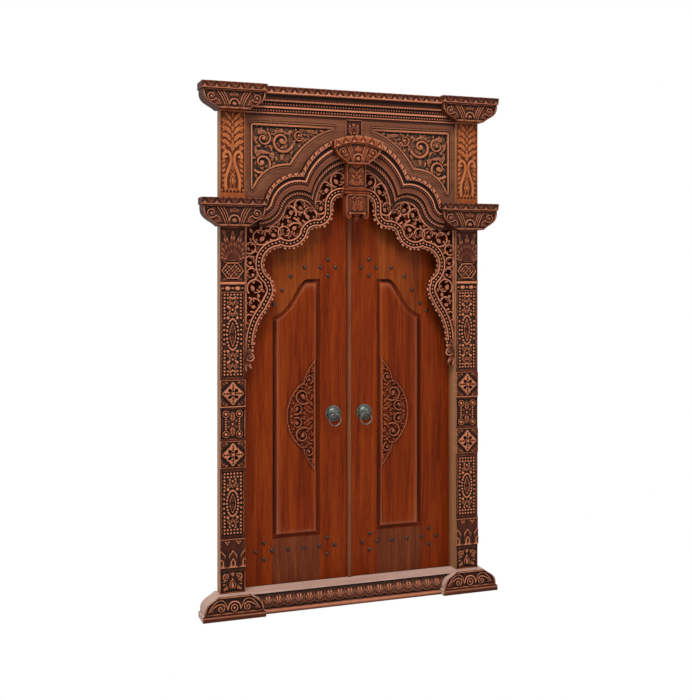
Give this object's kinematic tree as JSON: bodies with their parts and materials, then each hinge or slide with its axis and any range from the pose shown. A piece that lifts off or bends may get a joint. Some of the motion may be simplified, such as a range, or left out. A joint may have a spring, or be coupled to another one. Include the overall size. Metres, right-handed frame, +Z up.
{
  "type": "carved temple door",
  "caption": "Double-leaf carved teak temple door in its frame: cusped arch with pierced fretwork, carved posts and blocks, hinged leaves and swinging ring pulls.",
  "frame": {"origin": "on the floor, midway between the posts, in the plane between the carved front and the lining", "axes": "+X to the right when facing the carved front, +Y to the back, +Z up"},
  "size_m": [1.528, 0.2042, 2.5],
  "materials": {
    "carved_teak": "worn oil",
    "dark_teak": "worn oil",
    "leaf_teak": "oiled",
    "aged_iron": "aged"
  },
  "bodies": {
    "frame": {"sill": "carved_teak", "plinth_left": "carved_teak", "plinth_right": "carved_teak", "post_left": "carved_teak", "post_right": "carved_teak", "capital_left": "carved_teak", "capital_right": "carved_teak", "transom_board": "dark_teak", "arch_left": "carved_teak", "arch_right": "carved_teak", "spandrel_left": "dark_teak", "spandrel_right": "dark_teak", "centre_block": "carved_teak", "keystone_corbel": "carved_teak", "keystone_shaft": "carved_teak", "pendant_drop": "carved_teak", "fretwork_left": "carved_teak", "fretwork_right": "carved_teak", "cornice_beam": "carved_teak", "cornice_block_left": "carved_teak", "cornice_block_right": "carved_teak", "jamb_left": "dark_teak", "jamb_right": "dark_teak", "head_jamb": "dark_teak", "hinge_frame_left": "aged_iron", "hinge_frame_right": "aged_iron", "hinge_pins_left": "aged_iron", "hinge_pins_right": "aged_iron"},
    "left_leaf": {"left_hinge_stile": "leaf_teak", "left_meeting_stile": "leaf_teak", "left_top_rail": "leaf_teak", "left_bottom_rail": "leaf_teak", "left_panel": "leaf_teak", "left_hinge_leaf": "aged_iron", "left_studs": "aged_iron", "left_pull_rose": "aged_iron"},
    "right_leaf": {"right_hinge_stile": "leaf_teak", "right_meeting_stile": "leaf_teak", "right_top_rail": "leaf_teak", "right_bottom_rail": "leaf_teak", "right_panel": "leaf_teak", "right_hinge_leaf": "aged_iron", "right_studs": "aged_iron", "right_pull_rose": "aged_iron", "right_meeting_bead": "leaf_teak"},
    "left_ring": {"left_pull_ring": "aged_iron"},
    "right_ring": {"right_pull_ring": "aged_iron"}
  },
  "joints": [
    {"name": "left_leaf_swing", "type": "hinge", "parent": "frame", "child": "left_leaf", "pos_m": [-0.56, 0.07125, 1.13], "axis": [0, 0, 1], "range_deg": [0, 100]},
    {"name": "right_leaf_swing", "type": "hinge", "parent": "frame", "child": "right_leaf", "pos_m": [0.56, 0.07125, 1.13], "axis": [0, 0, -1], "range_deg": [0, 100]},
    {"name": "left_ring_swing", "type": "hinge", "parent": "left_leaf", "child": "left_ring", "pos_m": [-0.0815, -0.006, 0.92], "axis": [-1, 0, 0], "range_deg": [-20, 100]},
    {"name": "right_ring_swing", "type": "hinge", "parent": "right_leaf", "child": "right_ring", "pos_m": [0.0815, -0.006, 0.92], "axis": [-1, 0, 0], "range_deg": [-20, 100]}
  ]
}
